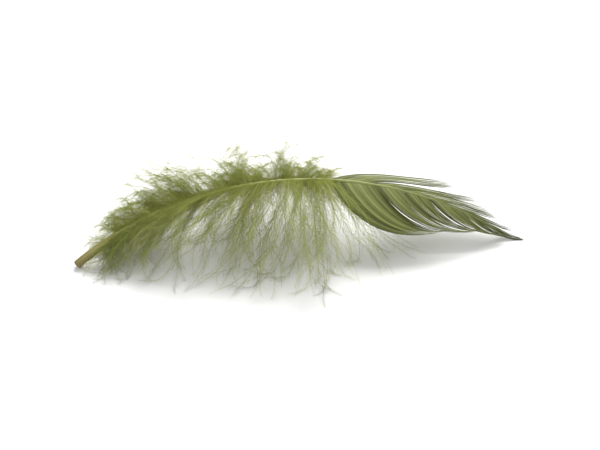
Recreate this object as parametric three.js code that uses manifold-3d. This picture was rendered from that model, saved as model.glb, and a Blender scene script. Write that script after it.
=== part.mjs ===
// One dyed body feather, lying bowed side up on a flat surface.
// It grew from one follicle, so the quill, the shaft, the vane and the down are one solid.
// Millimetres, +Z up, +X from the quill to the tip.
// The origin is the middle of the footprint, on the surface that the feather lies on.

import * as THREE from "three";
import { mergeVertices } from "three/addons/utils/BufferGeometryUtils.js";
import Module from "manifold-3d";

const { degToRad, lerp, clamp } = THREE.MathUtils;

// The shaft. Places along it are counted from the cut end of the quill.
const SHAFT_LENGTH = 98;
const BARE_QUILL = 11;
const DOWN_END = 59;
const QUILL_RADIUS = 0.95;
const SHAFT_TIP_RADIUS = 0.28;
const QUILL_START = new THREE.Vector3(-48.461, -2.032, 0.72);

// The bow: its slope at the two ends, how far the curve waits for the tip, and its lean to the far side.
const RISE = degToRad(37);
const FALL = degToRad(35);
const BOW_POWER = 0.99;
const LEAN = degToRad(26);

// The vane and the down turn this far about the shaft, near side down.
const ROLL = degToRad(7);

// The surface: how high the middle of a barb lies on it, and how softly it bends there.
const RESTING_HEIGHT = 0.1;
const SOFTNESS = 0.6;

// The vane: strands of hooked barbs on each side, with a slit between one and the next. The strands
// differ in width, in how far they are gathered towards their ends, and a little in how they droop.
// The far side is narrower and hangs lower.
const STRANDS_A_SIDE = 5;
const STRAND_GAP = 0.35;
const VANE_THICKNESS = 0.5;
const VANE_RIDGE = 0.12;
const VANE_SPREAD_FIRST = [degToRad(72), degToRad(-14)];
const VANE_SPREAD_LAST = [degToRad(18), degToRad(-24)];
const VANE_LENGTH_FIRST = 28;
const VANE_LENGTH_LAST = 8;
const VANE_LIFT = [degToRad(-4), degToRad(-58)];
const FAR_VANE = 0.6;
const FAR_VANE_DROOP = degToRad(16);
const GATHERING = 0.5;

// The down: loose locks, in an upper and a lower layer on each side. On the near side the first ones
// sweep back along the quill. On the far side they get shorter and hang lower towards the vane.
const LOCKS_A_LAYER = 15;
const LOCK_WIDTH = 1.6;
const LOCK_THICKNESS = 0.42;
const DOWN_SPREAD_FIRST_NEAR = degToRad(160);
const DOWN_SPREAD_FIRST_FAR = degToRad(108);
const DOWN_SPREAD_LAST = degToRad(62);
const SWEEP = 2.2;
const DOWN_CURL = degToRad(8);
const FAR_DROOP = degToRad(26);
const FAR_SHORTER = 0.5;
const STRAIGHT_DOWN = degToRad(-86);
const DOWN_LENGTH_FIRST = 12;
const DOWN_LENGTH_MIDDLE = 22;
const DOWN_LENGTH_LAST = 31;
const LAYERS = [
  { lift: [degToRad(22), degToRad(-54)], shorter: 0.9 },
  { lift: [degToRad(-18), degToRad(-62)], shorter: 1 },
];

// How finely each form is made
const SHAFT_STEPS = 34;
const SHAFT_SIDES = 9;
const STRAND_STEPS = 10;
const STRAND_COLUMNS = 4;
const LOCK_STEPS = 7;
const LOCK_SIDES = 4;

// Edges shorter than this are joined up
const FINEST = 0.1;

// An even scatter from -1 to 1 that is the same in every run
const scatter = (index, stride) => 2 * ((index * stride) % 1) - 1;

// The slope of the shaft in the plane of its bow
const slopeAt = (place) =>
  RISE - (RISE + FALL) * clamp(place / SHAFT_LENGTH, 0, 1) ** BOW_POWER;

// The direction of the shaft: the bow's plane is upright, leaned over by LEAN
function tangentAt(place) {
  const slope = slopeAt(place);
  return new THREE.Vector3(
    Math.cos(slope),
    Math.sin(slope) * Math.sin(LEAN),
    Math.sin(slope) * Math.cos(LEAN),
  );
}

// The line of the shaft, by adding up short steps in its direction
const LINE_STEPS = 200;
const shaftLine = [QUILL_START.clone()];
for (let i = 0; i < LINE_STEPS; i++) {
  const step = SHAFT_LENGTH / LINE_STEPS;
  const next = shaftLine[i].clone();
  shaftLine.push(next.addScaledVector(tangentAt((i + 0.5) * step), step));
}

// The shaft's point and its own axes at a place: along it, across to the far side, and up
function shaftAt(place) {
  const steps = clamp(place / SHAFT_LENGTH, 0, 1) * LINE_STEPS;
  const whole = Math.min(Math.floor(steps), LINE_STEPS - 1);
  const point = shaftLine[whole].clone().lerp(shaftLine[whole + 1], steps - whole);
  const along = tangentAt(place);
  const level = new THREE.Vector3(-along.y, along.x, 0).normalize();
  const across = level.applyAxisAngle(along, ROLL);
  const up = along.clone().cross(across);
  return { point, along, across, up };
}

// The radius of the shaft: full along the bare quill, then a taper to the tip
function radiusAt(place) {
  const share = clamp((place - BARE_QUILL) / (SHAFT_LENGTH - BARE_QUILL), 0, 1);
  return lerp(QUILL_RADIUS, SHAFT_TIP_RADIUS, share ** 0.5);
}

// A point that would be below the surface is held up by it
function onSurface(point) {
  const height = point.z - RESTING_HEIGHT;
  point.z = RESTING_HEIGHT + (height + Math.hypot(height, SOFTNESS)) / 2;
  return point;
}

// A barb's line. Its angle to the shaft goes from spread[0] at the root to spread[1] at the tip,
// and its rise above the shaft's own plane goes from lift[0] to lift[1].
function barbLine({ root, side, spread, lift, length }, steps) {
  const { point, along, across, up } = shaftAt(root);
  const line = [point.clone()];
  for (let i = 0; i < steps; i++) {
    const share = (i + 0.5) / steps;
    const turn = lerp(spread[0], spread[1], share);
    const rise = lerp(lift[0], lift[1], share);
    const direction = along
      .clone()
      .multiplyScalar(Math.cos(turn))
      .addScaledVector(across, side * Math.sin(turn) * Math.cos(rise))
      .addScaledVector(up, Math.sin(turn) * Math.sin(rise));
    line.push(line[i].clone().addScaledVector(direction, length / steps));
  }
  return [line[0], ...line.slice(1).map(onSurface)];
}

// A closed three.js shape with each of its vertices moved by a rule, as a solid
const wasm = await Module();
wasm.setup();

function solidFrom(geometry, rule = (vertex) => vertex) {
  const shape = geometry.clone();
  shape.deleteAttribute("normal");
  shape.deleteAttribute("uv");
  const merged = mergeVertices(shape);
  const position = merged.getAttribute("position");
  const vertex = new THREE.Vector3();
  for (let i = 0; i < position.count; i++) {
    const moved = rule(vertex.fromBufferAttribute(position, i));
    position.setXYZ(i, moved.x, moved.y, moved.z);
  }
  const solid = new wasm.Manifold(
    new wasm.Mesh({
      numProp: 3,
      vertProperties: new Float32Array(position.array),
      triVerts: new Uint32Array(merged.index.array),
    }),
  );
  return solid;
}

// The quill and shaft: a cylinder laid along the shaft's line
function makeShaft() {
  const rod = new THREE.CylinderGeometry(1, 1, 1, SHAFT_SIDES, SHAFT_STEPS);
  return solidFrom(rod, (v) => {
    const place = (0.5 - v.y) * SHAFT_LENGTH;
    const { point, across, up } = shaftAt(place);
    const radius = radiusAt(place);
    return point
      .addScaledVector(across, v.x * radius)
      .addScaledVector(up, v.z * radius);
  });
}

// Where on the shaft a strand of the vane begins
function strandStart(side, index) {
  const inside = index > 0 && index < STRANDS_A_SIDE;
  const shift = inside ? 0.3 * scatter(index + 3 * side + 10, 0.618) : 0;
  return lerp(DOWN_END, SHAFT_LENGTH, (index + shift) / STRANDS_A_SIDE);
}

// A strand of the vane: a thin sheet whose columns follow neighbouring barbs, gathered towards the
// middle one. Every second column is a low ridge.
function makeStrand(side, index) {
  const seed = index + (side > 0 ? STRANDS_A_SIDE : 0);
  const vaneLength = SHAFT_LENGTH - DOWN_END;
  const width = strandStart(side, index + 1) - strandStart(side, index);
  const slit = STRAND_GAP * (1 + 0.7 * scatter(seed, 0.414));
  const middle = strandStart(side, index) + width / 2;
  const droop = degToRad(5) * scatter(seed, 0.57) - (side > 0 ? FAR_VANE_DROOP : 0);
  const narrower = side > 0 ? FAR_VANE : 1;
  const barbAt = (root) => {
    const share = clamp((root - DOWN_END) / vaneLength, 0, 1);
    return barbLine(
      {
        root,
        side,
        spread: [0, 1].map(
          (end) => narrower * lerp(VANE_SPREAD_FIRST[end], VANE_SPREAD_LAST[end], share),
        ),
        lift: VANE_LIFT.map((angle) => angle + droop),
        length:
          lerp(VANE_LENGTH_FIRST, VANE_LENGTH_LAST, share) * (1 + 0.06 * scatter(seed, 0.618)),
      },
      STRAND_STEPS,
    );
  };
  const columns = Array.from({ length: STRAND_COLUMNS + 1 }, (_, column) =>
    barbAt(middle + (column / STRAND_COLUMNS - 0.5) * (width - slit)),
  );
  const centre = barbAt(middle);
  const gathering = GATHERING + 0.16 * scatter(seed, 0.733);
  const { up } = shaftAt(middle);
  const sheet = new THREE.BoxGeometry(1, 1, 1, STRAND_COLUMNS, STRAND_STEPS, 1);
  return solidFrom(sheet, (v) => {
    const column = Math.round((side * v.x + 0.5) * STRAND_COLUMNS);
    const step = Math.round((v.y + 0.5) * STRAND_STEPS);
    const gathered = gathering * (step / STRAND_STEPS) ** 2.5;
    const point = columns[column][step].clone().lerp(centre[step], gathered);
    const thickness = VANE_THICKNESS * lerp(1, 0.6, step / STRAND_STEPS);
    const ridge = step > 0 && column % 2 === 1 ? VANE_RIDGE : 0;
    return point.addScaledVector(up, v.z * thickness + ridge);
  });
}

// A lock of down: a tapering blade along one barb's line
function makeLock(side, layer, index) {
  const seed = index + LOCKS_A_LAYER * (2 * layer + (side > 0 ? 1 : 0));
  const share = (index + 0.25 + 0.5 * layer + 0.2 * scatter(seed, 0.303)) / LOCKS_A_LAYER;
  const root = lerp(BARE_QUILL, DOWN_END, share);
  const reach =
    share < 0.5
      ? lerp(DOWN_LENGTH_FIRST, DOWN_LENGTH_MIDDLE, Math.sin(share * Math.PI))
      : lerp(DOWN_LENGTH_MIDDLE, DOWN_LENGTH_LAST, 2 * share - 1);
  const firstSpread = side > 0 ? DOWN_SPREAD_FIRST_FAR : DOWN_SPREAD_FIRST_NEAR;
  const spread = lerp(firstSpread, DOWN_SPREAD_LAST, share ** SWEEP);
  const waning = side > 0 ? share ** 2 : 0;
  const bend = degToRad(22) * scatter(seed, 0.57) - FAR_DROOP * waning;
  const { lift, shorter } = LAYERS[layer];
  const line = barbLine(
    {
      root,
      side,
      spread: [
        spread + degToRad(16) * scatter(seed, 0.618),
        spread + DOWN_CURL + degToRad(40) * scatter(seed, 0.755),
      ],
      lift: lift.map((angle) => Math.max(angle + bend, STRAIGHT_DOWN)),
      length: reach * shorter * (1 - FAR_SHORTER * waning) * (1 + 0.22 * scatter(seed, 0.414)),
    },
    LOCK_STEPS,
  );
  const { up } = shaftAt(root);
  const blade = new THREE.CylinderGeometry(1, 1, 1, LOCK_SIDES, LOCK_STEPS);
  return solidFrom(blade, (v) => {
    const step = Math.round((0.5 - v.y) * LOCK_STEPS);
    const along = line[Math.min(step + 1, LOCK_STEPS)]
      .clone()
      .sub(line[Math.max(step - 1, 0)])
      .normalize();
    const across = up.clone().cross(along).normalize();
    const fullness = Math.max(0.2, Math.sin(Math.PI * (0.24 + (0.74 * step) / LOCK_STEPS)) ** 0.8);
    return line[step]
      .clone()
      .addScaledVector(across, v.x * LOCK_WIDTH * fullness)
      .addScaledVector(up, v.z * LOCK_THICKNESS * fullness);
  });
}

// Everything below the surface is taken off, which leaves small flats where the feather rests
function makeGround() {
  const size = 3 * SHAFT_LENGTH;
  const block = new THREE.BoxGeometry(size, size, size);
  return solidFrom(block.translate(0, 0, -size / 2));
}

let feather = makeShaft();
for (const side of [-1, 1]) {
  for (let index = 0; index < STRANDS_A_SIDE; index++) {
    feather = feather.add(makeStrand(side, index));
  }
  for (let layer = 0; layer < LAYERS.length; layer++) {
    for (let index = 0; index < LOCKS_A_LAYER; index++) {
      feather = feather.add(makeLock(side, layer, index));
    }
  }
}
feather = feather.subtract(makeGround()).simplify(FINEST);

// Locks that cross can close in a pocket of air, so only the outer skin is kept
feather = feather.decompose().reduce((one, other) => (other.volume() > one.volume() ? other : one));

const made = feather.getMesh();
const geometry = new THREE.BufferGeometry();
geometry.setAttribute("position", new THREE.BufferAttribute(made.vertProperties, 3));
geometry.setIndex(new THREE.BufferAttribute(made.triVerts, 1));
geometry.computeVertexNormals();

const dyedKeratin = new THREE.MeshStandardMaterial({ color: 0x96a35c, roughness: 0.6, metalness: 0 });
const mesh = new THREE.Mesh(geometry, dyedKeratin);
mesh.name = "feather";

const group = new THREE.Group();
group.add(mesh);

export default group;
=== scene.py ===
# %% [markdown]
# # A dyed body feather
# A body feather grows from one follicle, and it has three looks along its length. First comes a bare
# quill like a thin straw. Then come loose downy barbs, each with hundreds of hair-fine barbules that
# nothing holds together. Last comes the vane, where the barbules hook neighbouring barbs into a sheet.
# This one was dyed olive green, and drying curled it into a shallow arch. It lies on a pale table with
# its convex side up.
#
# Everything here is worked out with numpy from the line of the shaft. A particle system or hair curves
# would be the usual way to make fluff, but only real meshes survive an export, so each hair is a small
# closed spindle, and tens of thousands of them are made in one go as whole arrays.

import bpy
import numpy as np
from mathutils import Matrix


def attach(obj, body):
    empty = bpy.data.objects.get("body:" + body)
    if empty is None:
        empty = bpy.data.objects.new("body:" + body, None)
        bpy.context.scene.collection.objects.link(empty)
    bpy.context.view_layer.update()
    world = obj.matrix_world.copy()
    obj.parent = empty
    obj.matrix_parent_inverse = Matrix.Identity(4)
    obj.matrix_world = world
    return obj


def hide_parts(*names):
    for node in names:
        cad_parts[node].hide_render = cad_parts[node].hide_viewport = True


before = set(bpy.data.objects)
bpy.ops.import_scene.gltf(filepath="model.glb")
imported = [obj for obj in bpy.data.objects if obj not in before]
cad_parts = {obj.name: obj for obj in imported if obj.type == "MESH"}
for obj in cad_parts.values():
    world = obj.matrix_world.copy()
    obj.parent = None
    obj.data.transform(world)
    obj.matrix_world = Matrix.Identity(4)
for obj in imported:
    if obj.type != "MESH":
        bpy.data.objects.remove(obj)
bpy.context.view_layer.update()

# %% [markdown]
# ## The line of the shaft
# The shaft is the spine that everything grows from. It leaves the table at the quill, climbs, and comes
# down again at the tip, and the plane of this bow leans over to the far side. A Bezier curve could be
# drawn by eye. A slope that falls steadily along the shaft is closer to how a feather curls, and it keeps
# the length exact: the line is the running sum of short steps in the direction of the slope.

# %% The shaft's sizes, in millimetres, with angles given in degrees
MM = 0.001
SHAFT_LENGTH = 98.0
BARE_QUILL = 11.0
DOWN_END = 59.0
QUILL_RADIUS = 0.95
SHAFT_TIP_RADIUS = 0.12
QUILL_START = np.array([-48.461, -2.032, 0.72])
RISE, FALL = np.radians([37.0, 35.0])
BOW_POWER = 0.99
LEAN = np.radians(26.0)
ROLL = np.radians(7.0)
LINE_STEPS = 200


def unit(vectors):
    """Each vector divided by its length."""
    return vectors / np.linalg.norm(vectors, axis=-1, keepdims=True)


def tangent_at(place):
    """The shaft's direction: its slope is RISE - (RISE + FALL) * share ** BOW_POWER.

    The slope lies in a plane that LEAN turns over to the far side.
    """
    share = np.clip(np.asarray(place, float) / SHAFT_LENGTH, 0, 1)
    slope = RISE - (RISE + FALL) * share**BOW_POWER
    return np.stack(
        [np.cos(slope), np.sin(slope) * np.sin(LEAN), np.sin(slope) * np.cos(LEAN)], axis=-1
    )


step = SHAFT_LENGTH / LINE_STEPS
middles = (np.arange(LINE_STEPS) + 0.5) * step
shaft_line = QUILL_START + np.vstack([np.zeros(3), np.cumsum(tangent_at(middles) * step, axis=0)])
shaft_places = np.arange(LINE_STEPS + 1) * step
print("shaft from", np.round(shaft_line[0], 2), "to", np.round(shaft_line[-1], 2))
print("top of the bow", round(float(shaft_line[:, 2].max()), 2), "mm")


# %% The shaft's own axes
def shaft_at(place):
    """Point, along, across and up at each place.

    Across starts level, square to the shaft, and turns about it by ROLL. Up is along x across.
    """
    place = np.asarray(place, float)
    point = np.stack([np.interp(place, shaft_places, shaft_line[:, i]) for i in range(3)], axis=-1)
    along = tangent_at(place)
    level = unit(np.stack([-along[..., 1], along[..., 0], np.zeros(place.shape)], axis=-1))
    across = level * np.cos(ROLL) + np.cross(along, level) * np.sin(ROLL)
    return point, along, across, np.cross(along, across)


point, along, across, up = shaft_at(SHAFT_LENGTH * np.array([0.0, 0.5, 1.0]))
print("up at the quill, the middle and the tip:", np.round(up, 2).tolist())

# %% [markdown]
# ## The line of a barb
# A barb leaves the shaft at one angle, its spread, and curves to another by its tip. At the same time it
# dips out of the shaft's own plane, which is its lift. Hundreds of barbs are worked out together: one row
# of the array for each barb, one column for each step, and a running sum along the columns. Where a line
# would go through the table it is bent up by a soft maximum, so that its end lies down on the table.

# %% Barb lines and the table under them
RESTING_HEIGHT = 0.1
SOFTNESS = 0.6


def on_table(points):
    """Height z becomes RESTING_HEIGHT + (h + sqrt(h^2 + SOFTNESS^2)) / 2, where h = z - RESTING_HEIGHT."""
    points = points.copy()
    height = points[..., 2] - RESTING_HEIGHT
    points[..., 2] = RESTING_HEIGHT + (height + np.hypot(height, SOFTNESS)) / 2
    return points


def barb_lines(root, side, spread, lift, length, steps):
    """Lines of barbs, as an array (barbs, steps + 1, 3).

    Each step goes cos(spread) along the shaft, side * sin(spread) * cos(lift) across it and
    sin(spread) * sin(lift) up, with spread and lift blended from their root to their tip values.
    """
    root, side, length = np.broadcast_arrays(*map(np.atleast_1d, (root, side, length)))
    point, along, across, up = shaft_at(root)
    share = (np.arange(steps) + 0.5) / steps
    turn = spread[0][:, None] * (1 - share) + spread[1][:, None] * share
    rise = lift[0][:, None] * (1 - share) + lift[1][:, None] * share
    parts = np.stack(
        [
            np.cos(turn),
            side[:, None] * np.sin(turn) * np.cos(rise),
            np.sin(turn) * np.sin(rise),
        ],
        axis=-1,
    )
    axes = np.stack([along, across, up], axis=1)
    moves = np.einsum("bsk,bkx->bsx", parts, axes) * (length / steps)[:, None, None]
    line = point[:, None, :] + np.concatenate(
        [np.zeros((len(root), 1, 3)), np.cumsum(moves, axis=1)], axis=1
    )
    line[:, 1:] = on_table(line[:, 1:])
    return line


def scatter(index, stride):
    """An even spread of numbers from -1 to 1, the same in every run: 2 * frac(index * stride) - 1."""
    return 2 * np.mod(np.asarray(index, float) * stride, 1.0) - 1


test = barb_lines(30.0, 1.0, np.radians([[90.0], [110.0]]), np.radians([[0.0], [-45.0]]), 20.0, 8)
print("a test barb ends at", np.round(test[0, -1], 2))

# %% [markdown]
# ## From lines to meshes
# Every part of a feather is long and thin, so one function makes them all: a small closed outline is
# carried along each line, scaled as it goes, and closed at both ends. The corners of neighbouring outlines
# are joined by four-sided faces in an order that makes them point outwards. Each corner also keeps a few
# numbers, such as how far along its barb it is, and the materials read them by name.


# %% Outlines carried along lines
def directions(line):
    """The direction of each line at each of its points, from the points on both sides of it."""
    return unit(np.gradient(line, axis=1) + 1e-12)


def carried(line, across, up, outline):
    """Points (lines, steps, corners, 3): line + across * outline x + up * outline y.

    outline is an array (lines, steps, corners, 2), in millimetres, that turns from across to up.
    """
    return (
        line[:, :, None, :]
        + across[:, :, None, :] * outline[..., 0:1]
        + up[:, :, None, :] * outline[..., 1:2]
    )


def closed_faces(lines, steps, corners):
    """Corner numbers of the side faces, then of the two end faces, of every line."""
    at = np.arange(lines * steps * corners).reshape(lines, steps, corners)
    here, there = at[:, :-1], at[:, 1:]
    sides = np.stack([here, np.roll(here, -1, 2), np.roll(there, -1, 2), there], axis=-1)
    ends = np.concatenate([at[:, 0, ::-1], at[:, -1]])
    return sides.reshape(-1, 4), ends


# %% Arrays into a Blender mesh
LOWEST = 0.01


def make_piece(name, points, numbers):
    """A mesh object from points (lines, steps, corners, 3) in millimetres, none lower than LOWEST.

    numbers holds the named numbers that its corners keep.
    """
    lines, steps, corners, _ = points.shape
    points = np.array(points)
    points[..., 2] = np.maximum(points[..., 2], LOWEST)
    sides, ends = closed_faces(lines, steps, corners)
    loops = np.concatenate([sides.ravel(), ends.ravel()]).astype(np.int32)
    totals = np.concatenate([np.full(len(sides), 4), np.full(len(ends), corners)])
    mesh = bpy.data.meshes.new(name)
    mesh.vertices.add(lines * steps * corners)
    mesh.vertices.foreach_set("co", (points * MM).astype(np.float32).ravel())
    mesh.loops.add(len(loops))
    mesh.loops.foreach_set("vertex_index", loops)
    mesh.polygons.add(len(totals))
    starts = np.concatenate([[0], np.cumsum(totals)[:-1]]).astype(np.int32)
    mesh.polygons.foreach_set("loop_start", starts)
    mesh.update(calc_edges=True)
    mesh.shade_smooth()
    for key, values in numbers.items():
        kept = mesh.attributes.new(key, "FLOAT", "POINT")
        spread = np.broadcast_to(values, points.shape[:3]).astype(np.float32)
        kept.data.foreach_set("value", spread.ravel())
    piece = bpy.data.objects.new(name, mesh)
    bpy.context.scene.collection.objects.link(piece)
    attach(piece, "root")
    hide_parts("feather")
    triangles = 2 * len(sides) + (corners - 2) * len(ends)
    print(name, "-", lines, "lines,", triangles, "triangles")
    return piece


# %% [markdown]
# ## The quill and shaft
# The quill is a hollow tube of clear horn. Past the first barbs it turns into the shaft, which is solid,
# squarer, and has a shallow groove along its underside, and it thins evenly to a hair at the tip. One
# outline carried along the line makes all of it. It starts inside the mouth of the quill, comes out round
# the rim and runs to the tip, so the hollow end is part of the same closed surface.


# %% The shaft's outline and its piece
SHAFT_RINGS = 150
SHAFT_CORNERS = 20
MOUTH_PLACES, MOUTH_SIZES = [3.2, 0.25, 0.0], [0.5, 0.62, 0.7]
RIM_PLACES, RIM_SIZES = [0.0, 0.12, 0.4], [0.86, 0.95, 1.0]
FIRST_FULL_RING = 1.0
SOLID_WITHIN = 12.0
SQUARENESS = 0.09
GROOVE_DEPTH, GROOVE_WIDTH = 0.34, 0.42
UNDERSIDE = 1.5 * np.pi


def shaft_radius(place):
    """QUILL_RADIUS along the bare quill, then a taper by share ** 0.5 to SHAFT_TIP_RADIUS."""
    share = np.clip((place - BARE_QUILL) / (SHAFT_LENGTH - BARE_QUILL), 0, 1) ** 0.5
    return QUILL_RADIUS + (SHAFT_TIP_RADIUS - QUILL_RADIUS) * share


rings = np.linspace(FIRST_FULL_RING, SHAFT_LENGTH, SHAFT_RINGS)
place = np.concatenate([MOUTH_PLACES, RIM_PLACES, rings])
size = np.concatenate([MOUTH_SIZES, RIM_SIZES, np.ones(SHAFT_RINGS)])
round_it = np.linspace(0, 2 * np.pi, SHAFT_CORNERS, endpoint=False)
radius = shaft_radius(place) * size
solid_part = np.clip((place - BARE_QUILL) / SOLID_WITHIN, 0, 1)[:, None]
square = 1 - SQUARENESS * solid_part * np.cos(4 * (round_it - np.pi / 4))
groove = 1 - GROOVE_DEPTH * solid_part * np.exp(-(((round_it - UNDERSIDE) / GROOVE_WIDTH) ** 2))
reach = radius[:, None] * square * groove
outline = np.stack([reach * np.cos(round_it), reach * np.sin(round_it)], axis=-1)[None]
point, along, across, up = shaft_at(place)
numbers = {"place": (place / SHAFT_LENGTH)[None, :, None]}
shaft = make_piece(
    "quill_and_shaft", carried(point[None], across[None], up[None], outline), numbers
)

# %% [markdown]
# ## The vane
# The barbs of the vane lie side by side like the slats of a blind, each with a ridge along its top and a
# thin web on both sides that meets its neighbour's. Handling has split this vane into strands with dark
# slits between them, and each strand is pinched together towards its end. A textured sheet would look
# right from far off. Separate ridged blades catch the light as the real ones do, and their free ends give
# the vane its ragged edge.

# %% The vane's sizes
STRANDS_A_SIDE = 5
BARBS_A_STRAND = 24
STRAND_GAP = 0.35
VANE_LENGTH = SHAFT_LENGTH - DOWN_END
VANE_SPREAD_FIRST = np.radians([72.0, -14.0])
VANE_SPREAD_LAST = np.radians([18.0, -24.0])
VANE_REACH = (28.0, 8.0)
VANE_LIFT = np.radians([-4.0, -58.0])
FAR_VANE = 0.6
FAR_VANE_DROOP = np.radians(16.0)
GATHERING = 0.5
VANE_STEPS = 26
START_SHIFT = 0.3
GAP_SCATTER = 0.7
REACH_SCATTER = 0.06
DROOP_SCATTER = np.radians(5.0)
GATHERING_SCATTER = 0.16
GATHERING_POWER = 2.5
TIP_CLOSING = 0.75


# %% Barbs of one side of the vane
def strand_starts(side):
    """Where the strands begin on the shaft: even shares of the vane's length.

    Each but the first and the last is shifted by START_SHIFT * its scatter.
    """
    number = np.arange(STRANDS_A_SIDE + 1)
    inside = (number > 0) & (number < STRANDS_A_SIDE)
    shift = np.where(inside, START_SHIFT * scatter(number + 3 * side + 10, 0.618), 0)
    return DOWN_END + VANE_LENGTH * (number + shift) / STRANDS_A_SIDE


def vane_barbs(side):
    """Lines of the vane's barbs, grouped (strands, barbs, steps + 1, 3).

    Spread and length blend from the first to the last root. The spread is also multiplied by
    1 - TIP_CLOSING * share ** 10, which acts right at the tip, and by FAR_VANE on the far side. A line is
    pulled towards the middle line of its strand by gathering * along ** GATHERING_POWER.
    """
    starts = strand_starts(side)
    seed = np.arange(STRANDS_A_SIDE) + (STRANDS_A_SIDE if side > 0 else 0)
    width = np.diff(starts)
    slit = STRAND_GAP * (1 + GAP_SCATTER * scatter(seed, 0.414))
    in_strand = np.append(np.linspace(-0.5, 0.5, BARBS_A_STRAND), 0)
    root = (starts[:-1] + width / 2)[:, None] + in_strand * (width - slit)[:, None]
    share = np.clip((root - DOWN_END) / VANE_LENGTH, 0, 1)
    narrower = (FAR_VANE if side > 0 else 1.0) * (1 - TIP_CLOSING * share**10)
    spread = [
        (narrower * (VANE_SPREAD_FIRST[i] * (1 - share) + VANE_SPREAD_LAST[i] * share)).ravel()
        for i in (0, 1)
    ]
    length = VANE_REACH[0] * (1 - share) + VANE_REACH[1] * share
    length = (length * (1 + REACH_SCATTER * scatter(seed, 0.618))[:, None]).ravel()
    droop = DROOP_SCATTER * scatter(seed, 0.57)[:, None] - (FAR_VANE_DROOP if side > 0 else 0)
    lift = [(angle + droop + 0 * root).ravel() for angle in VANE_LIFT]
    line = barb_lines(root.ravel(), side, spread, lift, length, VANE_STEPS)
    line = line.reshape(STRANDS_A_SIDE, BARBS_A_STRAND + 1, VANE_STEPS + 1, 3)
    gathering = (GATHERING + GATHERING_SCATTER * scatter(seed, 0.733))[:, None, None, None]
    along = np.linspace(0, 1, VANE_STEPS + 1)[None, None, :, None]
    gathered = gathering * along**GATHERING_POWER
    return line[:, :-1] * (1 - gathered) + line[:, -1:] * gathered


line = vane_barbs(-1.0)
print("near side of the vane reaches y", round(float(line[..., 1].min()), 1), "mm")

# %% Ridged blades along the vane's barbs
VANE_OUTLINE = np.array([[-1, -0.15], [0, -0.5], [1, -0.15], [1, 0.15], [0, 1], [-1, 0.15]])
BLADE_WIDTH = 0.66
RIDGE_HEIGHT = 0.1
RUFFLE = 0.05
BUNDLE_HEIGHTS = (0.08, 0.07)
BLADE_SCATTER = 0.05
# The first number is painted light and shade: lifted bundles lighter, sunk ones darker. The second is each
# blade's own random tone.
BUNDLE_PAINTED_LIGHT, BLADE_TONE = 2.6, 0.3


def make_vane(name, side):
    """Blades along the barbs. To either side of its line a blade is BLADE_WIDTH * the distance to the next.

    A blade narrows by 1 - 0.8 * along ** 8. Two waves over the barbs' numbers lift some and sink others,
    so that they lie in bundles, and each blade has its own ruffle and a little height of its own. The
    lifted bundles get a lighter tone and the sunk ones a darker, as painted light and shade, on top of a
    random tone for each blade.
    """
    line = vane_barbs(side)
    strands, barbs, steps, _ = line.shape
    share = np.linspace(0, 1, steps)
    to_next = np.gradient(line, axis=1) * -side
    flat = line.reshape(-1, steps, 3)
    number = np.arange(len(flat))
    ahead = directions(flat)
    to_next = to_next.reshape(-1, steps, 3)
    to_next = to_next - ahead * np.sum(to_next * ahead, axis=-1, keepdims=True)
    spacing = np.linalg.norm(to_next, axis=-1)
    across = to_next / spacing[..., None]
    up = np.cross(ahead, across)
    ruffle = RUFFLE * share * np.sin(9 * share + 6.3 * scatter(number, 0.377)[:, None])
    phase = 2 * scatter(number // barbs, 0.414)
    narrow, wide = BUNDLE_HEIGHTS
    bundles = narrow * np.sin(1.2 * number + phase) + wide * np.sin(0.45 * number + 2 * phase)
    height = (bundles + BLADE_SCATTER * scatter(number, 0.733))[:, None] * np.minimum(4 * share, 1)
    flat = flat + across * ruffle[..., None] + up * height[..., None]
    taper = 1 - 0.8 * share**8
    ridge = np.broadcast_to(RIDGE_HEIGHT * (1 - 0.5 * share) * taper, spacing.shape)
    outline = VANE_OUTLINE * np.stack([spacing * BLADE_WIDTH * taper, ridge], axis=-1)[:, :, None, :]
    place = (np.arange(strands)[:, None] + np.linspace(0, 1, barbs)) / strands
    in_strand = np.abs(np.linspace(-1, 1, barbs))[None].repeat(strands, 0)
    # The tone holds painted light and shade from the bundles' height, and each blade's random tone.
    numbers = {
        "along": share[None, :, None],
        "place": place.reshape(-1, 1, 1),
        "edge": in_strand.reshape(-1, 1, 1),
        "tone": (0.5 + BUNDLE_PAINTED_LIGHT * bundles + BLADE_TONE * scatter(number, 0.618))[:, None, None],
    }
    return make_piece(name, carried(flat, across, up, outline), numbers)


vane_near = make_vane("vane_near_side", -1.0)
vane_far = make_vane("vane_far_side", 1.0)

# %% [markdown]
# ## The down
# Down is what a barb does when nothing hooks it to the next: it wanders. Its barbs come off the shaft in
# loose locks, in an upper and a lower layer, swept back towards the quill at the start and forwards near
# the vane. On the near side they run along the shaft a little before they fall. Each lock here is nine
# barbs that share its direction and differ a little, so the fluff keeps both its clumps and its stray
# hairs.

# %% The down's sizes
LOCKS_A_LAYER = 15
BARBS_A_LOCK = 9
LOCK_SHIFT = 0.2
LOCK_WIDTH = 0.86
DOWN_SPREAD = {-1.0: np.radians([160.0, 62.0]), 1.0: np.radians([108.0, 62.0])}
SWEEP = 2.2
MOST_SWEPT = np.radians(165.0)
COMB = {-1.0: np.radians(24.0), 1.0: 0.0}
DOWN_CURL = np.radians(8.0)
LOCK_TURNS = np.radians([16.0, 40.0])
BARB_TURNS = np.radians([15.0, 34.0])
LOCK_CLOSING = np.radians(9.0)
LAYERS = [(np.radians([22.0, -54.0]), 0.9), (np.radians([-18.0, -62.0]), 1.0)]
FAR_DROOP = np.radians(32.0)
FAR_FADING, NEAR_LEVELLING = 0.8, 0.5
STRAIGHT_DOWN = np.radians(-86.0)
LOCK_LIFT = np.radians(16.0)
BARB_LIFT, BARB_LIFT_MORE = np.radians([8.0, 6.0])
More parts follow.
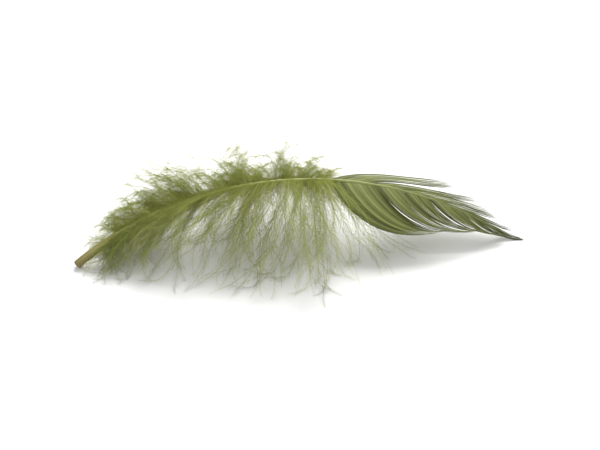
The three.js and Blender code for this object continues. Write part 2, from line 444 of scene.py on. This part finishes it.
DOWN_REACH = (11.0, 20.0, 29.0)
FAR_SHORTER = 0.5
LOCK_REACH_SCATTER, BARB_REACH_SCATTER = 0.22, 0.15
SLOW_WAVE, SLOW_RISE, QUICK_WAVE = 2.3, 0.6, 0.4
RAISED = 0.85
DOWN_STEPS = 18


# %% Barbs of one layer on one side of the down
def down_barbs(side, layer):
    """Lines of downy barbs (locks * barbs, steps + 1, 3), and the tone of each barb's lock.

    A lock's spread, lift and length are those of the solid's lock, with these differences. The scatter of
    the far locks fades by FAR_FADING at the vane, and they hang a little lower there, so that they end in
    an even rim. The near locks' scatter of lift fades by NEAR_LEVELLING. The near barbs are combed: they
    leave COMB * -cos(spread) * sqrt(sin(pi * share)) closer to the line of the shaft, and end half as much
    further from it. Each barb adds its own scatter, and a slow and a quick wave whose heights grow along
    it. It is raised by RAISED * the shaft's radius * (1 - along) ** 2, because barbs grow from the
    shaft's upper side.
    """
    lock = np.repeat(np.arange(LOCKS_A_LAYER), BARBS_A_LOCK)
    in_lock = np.tile(np.linspace(-1, 1, BARBS_A_LOCK), LOCKS_A_LAYER)
    seed = lock + LOCKS_A_LAYER * (2 * layer + (side > 0))
    barb = np.arange(len(lock)) + 1000 * (2 * layer + (side > 0))
    share = (lock + 0.25 + 0.5 * layer + LOCK_SHIFT * scatter(seed, 0.303)) / LOCKS_A_LAYER
    share = np.clip(share + in_lock * LOCK_WIDTH / 2 / LOCKS_A_LAYER, 0, 1)
    root = BARE_QUILL + (DOWN_END - BARE_QUILL) * share
    waning = share**2 if side > 0 else 0 * share
    fading = 1 - FAR_FADING * waning

    first, last = DOWN_SPREAD[side]
    spread = first + (last - first) * share**SWEEP
    combed = -COMB[side] * np.cos(spread) * np.sqrt(np.sin(np.pi * share))
    turns = LOCK_TURNS[0] * fading * scatter(seed, 0.618) + BARB_TURNS[0] * scatter(barb, 0.382)
    curls = LOCK_TURNS[1] * fading * scatter(seed, 0.755) + BARB_TURNS[1] * scatter(barb, 0.271)
    spreads = [
        np.minimum(spread + combed, MOST_SWEPT) + turns,
        spread - combed / 2 + DOWN_CURL - LOCK_CLOSING * in_lock + curls,
    ]

    lift, shorter = LAYERS[layer]
    levelling = fading if side > 0 else 1 - NEAR_LEVELLING * share**2
    bend = LOCK_LIFT * levelling * scatter(seed, 0.57)
    bend = bend + (BARB_LIFT + BARB_LIFT_MORE * waning) * scatter(barb, 0.839) - FAR_DROOP * waning
    lifts = [np.maximum(angle + bend, STRAIGHT_DOWN) for angle in lift]

    first, middle, last = DOWN_REACH
    reach = np.where(
        share < 0.5,
        first + (middle - first) * np.sin(share * np.pi),
        middle + (last - middle) * (2 * share - 1),
    )
    length = reach * shorter * (1 - FAR_SHORTER * waning)
    length = length * (1 + LOCK_REACH_SCATTER * scatter(seed, 0.414))
    length = length * (1 + BARB_REACH_SCATTER * scatter(barb, 0.517))

    line = barb_lines(root, side, spreads, lifts, length, DOWN_STEPS)
    along = np.linspace(0, 1, DOWN_STEPS + 1)
    ahead = directions(line)
    aside = unit(np.cross(ahead, [0.0, 0.0, 1.0]))
    above = np.cross(aside, ahead)
    cycles = 0.8 + 0.5 * scatter(barb, 0.913)[:, None]
    slow = along**1.2 * np.sin(2 * np.pi * (cycles * along + scatter(barb, 0.129)[:, None]))
    quick = along * np.sin(2 * np.pi * (2.3 * along + scatter(barb, 0.457)[:, None]))
    line = line + aside * (SLOW_WAVE * slow + QUICK_WAVE * quick)[..., None]
    line = line + above * (SLOW_RISE * slow)[..., None]
    raised = (RAISED * shaft_radius(root))[:, None] * (1 - along) ** 2
    line = line + shaft_at(root)[3][:, None, :] * raised[..., None]
    return line, 0.5 + 0.5 * scatter(seed, 0.618)


line, tone = down_barbs(-1.0, 0)
print(len(line), "barbs in a layer; mean reach", round(float(np.mean(line[:, -1, 1])), 1), "mm in y")

# %% The stems of the barbs
CORNER_ANGLES = np.array([0.5, 2.6, 4.7])
TRIANGLE = np.stack([np.cos(CORNER_ANGLES), np.sin(CORNER_ANGLES)], axis=-1)
STEM_RADIUS, STEM_TAPER = 0.06, 0.66


def make_stems(name, side):
    """Three-sided stems of both layers, whose radius is STEM_RADIUS * (1 - STEM_TAPER * along)."""
    line, tone = (np.concatenate(pair) for pair in zip(down_barbs(side, 0), down_barbs(side, 1)))
    ahead = directions(line)
    across = unit(np.cross([0.0, 0.0, 1.0], ahead))
    up = np.cross(ahead, across)
    along = np.linspace(0, 1, DOWN_STEPS + 1)
    radius = STEM_RADIUS * (1 - STEM_TAPER * along)
    outline = np.broadcast_to(
        TRIANGLE * radius[:, None, None], (len(line), DOWN_STEPS + 1, 3, 2)
    )
    numbers = {"along": along[None, :, None], "tone": 0.5 + tone[:, None, None]}
    return make_piece(name, carried(line, across, up, outline), numbers)


stems_near = make_stems("down_barbs_near_side", -1.0)
stems_far = make_stems("down_barbs_far_side", 1.0)

# %% [markdown]
# ## The barbules
# The softness of down is its barbules: hairs a few millimetres long that stand off both sides of a barb,
# bend forwards and sag. They are far too thin to see one by one, and together they make a haze. Each is a
# three-sided spindle of two lengths, and one call makes all those of a layer.

# %% Spindles along the barbs
BARBULES_A_BARB = 102
BARBULE_LENGTH = 3.2
BARBULE_RADII = 0.026 * np.array([1.0, 0.8, 0.3])
FIRST_BARBULE, BARBULE_SPAN = 0.005, 0.985
CROWDING = 1.45
ROLL_SCATTER = np.radians(55)
SLANT, SLANT_SCATTER = 44, 18
FORWARDS, SAG = 0.6, 0.2


def make_barbules(name, side, layer):
    """Barbules (count, 3 points): each leaves its barb at a slant and bends forwards and down.

    The barbs are laid end to end, and barbule n sits at (n + 0.5) / count of that length, moved by its
    scatter. Then its place along its barb becomes at ** CROWDING, so they crowd near the shaft. Its
    direction is cos(slant) ahead plus sin(slant) aside, where aside turns round the barb by its own roll.
    Its second half leans FORWARDS more and sinks by SAG. The slant, the roll and the length are scattered.
    """
    line, tone = down_barbs(side, layer)
    barbs, steps, _ = line.shape
    count = BARBULES_A_BARB * barbs
    number = np.arange(count) + 0.5
    reach = np.linalg.norm(np.diff(line, axis=1), axis=2).sum(axis=1)
    ends = np.cumsum(reach)
    spot = (number + 0.5 * scatter(number, 0.618)) / count * ends[-1]
    owner = np.minimum(np.searchsorted(ends, spot), barbs - 1)
    at = np.clip(1 - (ends[owner] - spot) / reach[owner], 0, 1)
    at = FIRST_BARBULE + BARBULE_SPAN * at**CROWDING
    before = np.minimum((at * (steps - 1)).astype(int), steps - 2)
    part = (at * (steps - 1) - before)[:, None]
    base = line[owner, before] * (1 - part) + line[owner, before + 1] * part
    ahead = directions(line)[owner, before]
    aside = unit(np.cross(ahead, [0.0, 0.0, 1.0]))
    above = np.cross(aside, ahead)
    hand = np.where(np.arange(count) % 2, 1.0, -1.0)
    roll = ROLL_SCATTER * scatter(number, 0.271)
    out = hand[:, None] * aside * np.cos(roll)[:, None] + above * np.sin(roll)[:, None]
    slant = np.radians(SLANT + SLANT_SCATTER * scatter(number, 0.414))[:, None]
    first = ahead * np.cos(slant) + out * np.sin(slant)
    last = unit(first + FORWARDS * ahead - [0.0, 0.0, SAG])
    longest = np.sin(np.pi * (0.24 + 0.7 * at)) ** 0.8
    length = BARBULE_LENGTH * longest * (0.45 + 0.55 * scatter(number, 0.733) ** 2)
    half = (length / 2)[:, None]
    bend = base + first * half
    hair = np.stack([base, bend, bend + last * half], axis=1)
    ahead = directions(hair)
    across = unit(np.cross(ahead, above[:, None, :]) + 1e-9)
    up = np.cross(ahead, across)
    radius = BARBULE_RADII * (1 - 0.5 * at**3)[:, None]
    outline = TRIANGLE * radius[:, :, None, None]
    numbers = {"along": at[:, None, None], "tone": tone[owner][:, None, None]}
    return make_piece(name, carried(hair, across, up, outline), numbers)


barbules = [
    make_barbules("barbules_near_upper", -1.0, 0),
    make_barbules("barbules_near_lower", -1.0, 1),
    make_barbules("barbules_far_upper", 1.0, 0),
    make_barbules("barbules_far_lower", 1.0, 1),
]

# %% [markdown]
# ## Finishes
# A material is a small program, and Blender draws it as nodes. Here it is written as Python expressions:
# a Wire wraps the output of a node, and adding or multiplying wires adds the Math nodes that do it. Any
# other node comes from one method, which sets its settings first and then fills its sockets.


# %% Wires and finishes
class Wire:
    """The output of a node. Arithmetic on wires and numbers adds Math nodes."""

    def __init__(self, finish, socket):
        self.finish = finish
        self.socket = socket

    def math(self, operation, first, second):
        return self.finish.node("ShaderNodeMath", {"operation": operation}, {0: first, 1: second})

    def __add__(self, other):
        return self.math("ADD", self, other)

    def __radd__(self, other):
        return self.math("ADD", other, self)

    def __mul__(self, other):
        return self.math("MULTIPLY", self, other)

    def __rmul__(self, other):
        return self.math("MULTIPLY", other, self)

    def __pow__(self, other):
        return self.math("POWER", self, other)


class Finish:
    """A material that is built up node by node."""

    def __init__(self, name):
        self.material = bpy.data.materials.new(name)
        self.material.use_nodes = True
        self.tree = self.material.node_tree
        self.tree.nodes.clear()

    def node(self, kind, settings=None, sockets=None, out=0):
        """Makes any node: its settings come first, then the values or wires of its sockets."""
        made = self.tree.nodes.new(kind)
        for key, value in (settings or {}).items():
            if key == "stops":
                elements = made.color_ramp.elements
                elements.remove(elements[-1])
                elements[0].position = value[0][0]
                elements[0].color = value[0][1]
                for position, colour in value[1:]:
                    elements.new(position).color = colour
            else:
                setattr(made, key, value)
        for key, value in (sockets or {}).items():
            if isinstance(value, Wire):
                self.tree.links.new(value.socket, made.inputs[key])
            else:
                made.inputs[key].default_value = value
        return Wire(self, made.outputs[out])

    def number(self, name):
        """A number that the mesh keeps on its corners."""
        return self.node("ShaderNodeAttribute", {"attribute_name": name}, out="Fac")

    def mix(self, factor, first, second):
        """A colour between two, by a factor."""
        return self.node("ShaderNodeMix", {"data_type": "RGBA"}, {0: factor, 6: first, 7: second}, 2)

    def place(self):
        """The object's own coordinates, in metres."""
        return self.node("ShaderNodeTexCoord", out="Object")

    def noise(self, scale):
        """Cloudy noise in the object's own coordinates, from 0 to 1."""
        sockets = {"Vector": self.place(), "Scale": scale, "Detail": 3.0}
        return self.node("ShaderNodeTexNoise", sockets=sockets)

    def give_to(self, shader, *pieces):
        """Connects the shader to the material's output and puts the material on the pieces."""
        output = self.tree.nodes.new("ShaderNodeOutputMaterial")
        self.tree.links.new(shader.socket, output.inputs["Surface"])
        for piece in pieces:
            piece.data.materials.clear()
            piece.data.materials.append(self.material)
        print(self.material.name, "on", ", ".join(piece.name for piece in pieces))


def srgb(red, green, blue):
    """A colour as a screen shows it, from 0 to 255, as the linear values that Blender mixes."""
    value = np.array([red, green, blue]) / 255
    linear = np.where(value <= 0.04045, value / 12.92, ((value + 0.055) / 1.055) ** 2.4)
    return (*linear.tolist(), 1.0)


# %% [markdown]
# ## The finish of the down
# Dyed down is pale and matt, and light goes through it: against the light it turns yellow-green. The dye
# takes unevenly, so whole locks differ in depth. The down is painted paler the higher it stands, as painted
# light on the top of the bow and painted shade on what lies on the table, and the ends of the barbs are
# paler than their roots. The surface is a rough Principled shader, and a fixed share of translucent light
# is mixed in. Subsurface scattering would be the other way, but hairs this thin have no inside to scatter
# in.

# %% Down
DOWN_THROUGH = 0.4
PAINTED_LIGHT_A_METRE = 36.0
down = Finish("dyed down")
tone = down.number("tone")
along = down.number("along")
cloud = down.noise(140.0)
light = down.mix(along, srgb(172, 181, 98), srgb(192, 199, 126))
dark = srgb(122, 132, 62)
height = down.node("ShaderNodeSeparateXYZ", sockets={"Vector": down.place()}, out="Z")
# Painted light and shade: the higher the down stands, the paler it is painted, so what lies on the table is
# darker.
body = down.mix(0.5 * tone + 0.3 * cloud + PAINTED_LIGHT_A_METRE * height, dark, light)
surface = down.node(
    "ShaderNodeBsdfPrincipled", sockets={"Base Color": body, "Roughness": 0.75, "IOR": 1.4}
)
through = down.node("ShaderNodeBsdfTranslucent", sockets={"Color": srgb(212, 214, 112)})
down.give_to(
    down.node("ShaderNodeMixShader", sockets={0: DOWN_THROUGH, 1: surface, 2: through}),
    stems_near,
    stems_far,
    *barbules,
)

# %% [markdown]
# ## The finish of the vane
# Hooked barbs are smoother than down and have a dull satin shine along their ridges. The strands are
# painted lightest along their middles and darker towards their edges, as painted shade in the slits, and
# their raised bundles are painted lighter, as painted light. Towards the tip the colour goes over to a
# greyer, darker green: partly the tip's own grey, partly painted shade.

# %% Vane
VANE_THROUGH = 0.28
vane = Finish("dyed vane")
place = vane.number("place")
along = vane.number("along")
edge = vane.number("edge")
tone = vane.number("tone")
cloud = vane.noise(220.0)
olive = vane.mix(0.7 * tone + 0.3 * cloud, srgb(60, 68, 26), srgb(170, 178, 108))
# Painted shade: each strand darkens towards its edges, where the slits are.
slit = vane.mix(edge**3 * 0.6, olive, srgb(50, 58, 22))
# Towards the tip the vane goes greyer and darker: partly the tip's own grey, partly painted shade.
tip_grey_and_painted_shade = vane.mix((place * 0.7 + along * 0.3) ** 2.4, slit, srgb(50, 57, 34))
surface = vane.node(
    "ShaderNodeBsdfPrincipled",
    sockets={"Base Color": tip_grey_and_painted_shade, "Roughness": 0.5 + 0.2 * cloud, "IOR": 1.4},
)
through = vane.node("ShaderNodeBsdfTranslucent", sockets={"Color": srgb(188, 190, 84)})
vane.give_to(
    vane.node("ShaderNodeMixShader", sockets={0: VANE_THROUGH, 1: surface, 2: through}),
    vane_near,
    vane_far,
)

# %% [markdown]
# ## The finish of the shaft
# The shaft is horn: smooth and glossy, paler than the barbs, with the dye gone brown at the bare end of
# the quill where it soaked in. Fine, even grain breaks up its colour and its shine. A painted stripe of
# colours along the shaft would do as well, but a ramp over one number needs no picture.

# %% Shaft
horn = Finish("dyed horn")
place = horn.number("place")
stops = [
    (0.0, srgb(118, 104, 52)),
    (0.05, srgb(150, 142, 78)),
    (0.2, srgb(172, 172, 104)),
    (0.7, srgb(160, 168, 100)),
    (1.0, srgb(104, 112, 72)),
]
colour = horn.node("ShaderNodeValToRGB", {"stops": stops}, {"Fac": place})
cloud = horn.noise(900.0)
colour = horn.mix(0.35 * cloud, colour, srgb(104, 100, 48))
surface = horn.node(
    "ShaderNodeBsdfPrincipled",
    sockets={"Base Color": colour, "Roughness": 0.28 + 0.2 * cloud, "IOR": 1.54},
)
horn.give_to(surface, shaft)

# %% [markdown]
# ## Table, light and camera
# The feather lies on a white table in soft light, and much of that light comes back up from the table and
# through the down. One large soft light stands behind and above, a second one in front at the left, and
# the sky is an even white. The camera looks down at about 40 degrees from nearly in front.

# %% Table
TABLE_HALF = 2.0
TABLE_WHITE = (0.86, 0.86, 0.85, 1)
mesh = bpy.data.meshes.new("table")
corners = TABLE_HALF * np.array([[-1, -1, 0], [1, -1, 0], [1, 1, 0], [-1, 1, 0]])
mesh.from_pydata(corners.tolist(), [], [(0, 1, 2, 3)])
table = bpy.data.objects.new("table", mesh)
bpy.context.scene.collection.objects.link(table)
white = Finish("white table")
white.give_to(
    white.node(
        "ShaderNodeBsdfPrincipled",
        sockets={"Base Color": TABLE_WHITE, "Roughness": 0.7},
    ),
    table,
)

# %% Light
from mathutils import Vector

TARGET = np.array([0.0, 0.0, 0.006])
SKY_STRENGTH = 0.55


def aim(thing, position):
    """Places a lamp or camera and turns its -Z axis to TARGET, with +Y as near to upwards as it goes."""
    thing.location = position
    look = Vector(TARGET) - Vector(position)
    thing.rotation_euler = look.to_track_quat("-Z", "Y").to_euler()


def softbox(name, position, width, power):
    """A square area light, width metres wide and of so many watts, that faces the feather."""
    lamp = bpy.data.lights.new(name, "AREA")
    lamp.shape = "SQUARE"
    lamp.size = width
    lamp.energy = power
    thing = bpy.data.objects.new(name, lamp)
    bpy.context.scene.collection.objects.link(thing)
    aim(thing, position)
    print(name, "of", power, "W at", position)


softbox("back_light", (0.12, 0.42, 0.5), width=0.4, power=6.0)
softbox("front_light", (-0.4, -0.35, 0.5), width=0.35, power=1.4)
world = bpy.data.worlds.new("even_sky")
world.use_nodes = True
sky = world.node_tree.nodes["Background"].inputs
sky["Color"].default_value = (1, 1, 1, 1)
sky["Strength"].default_value = SKY_STRENGTH
bpy.context.scene.world = world
bpy.context.scene.view_settings.view_transform = "Standard"

# %% Camera
AZIMUTH, ELEVATION = np.radians([-6.0, 40.0])
DISTANCE = 0.36
FOCAL_LENGTH = 100
back = np.array(
    [
        np.sin(AZIMUTH) * np.cos(ELEVATION),
        -np.cos(AZIMUTH) * np.cos(ELEVATION),
        np.sin(ELEVATION),
    ]
)
lens = bpy.data.cameras.new("camera")
lens.lens = FOCAL_LENGTH
lens.clip_start = 0.01
camera = bpy.data.objects.new("camera", lens)
bpy.context.scene.collection.objects.link(camera)
aim(camera, TARGET + back * DISTANCE)
bpy.context.scene.camera = camera
print("the camera is", DISTANCE, "m away")
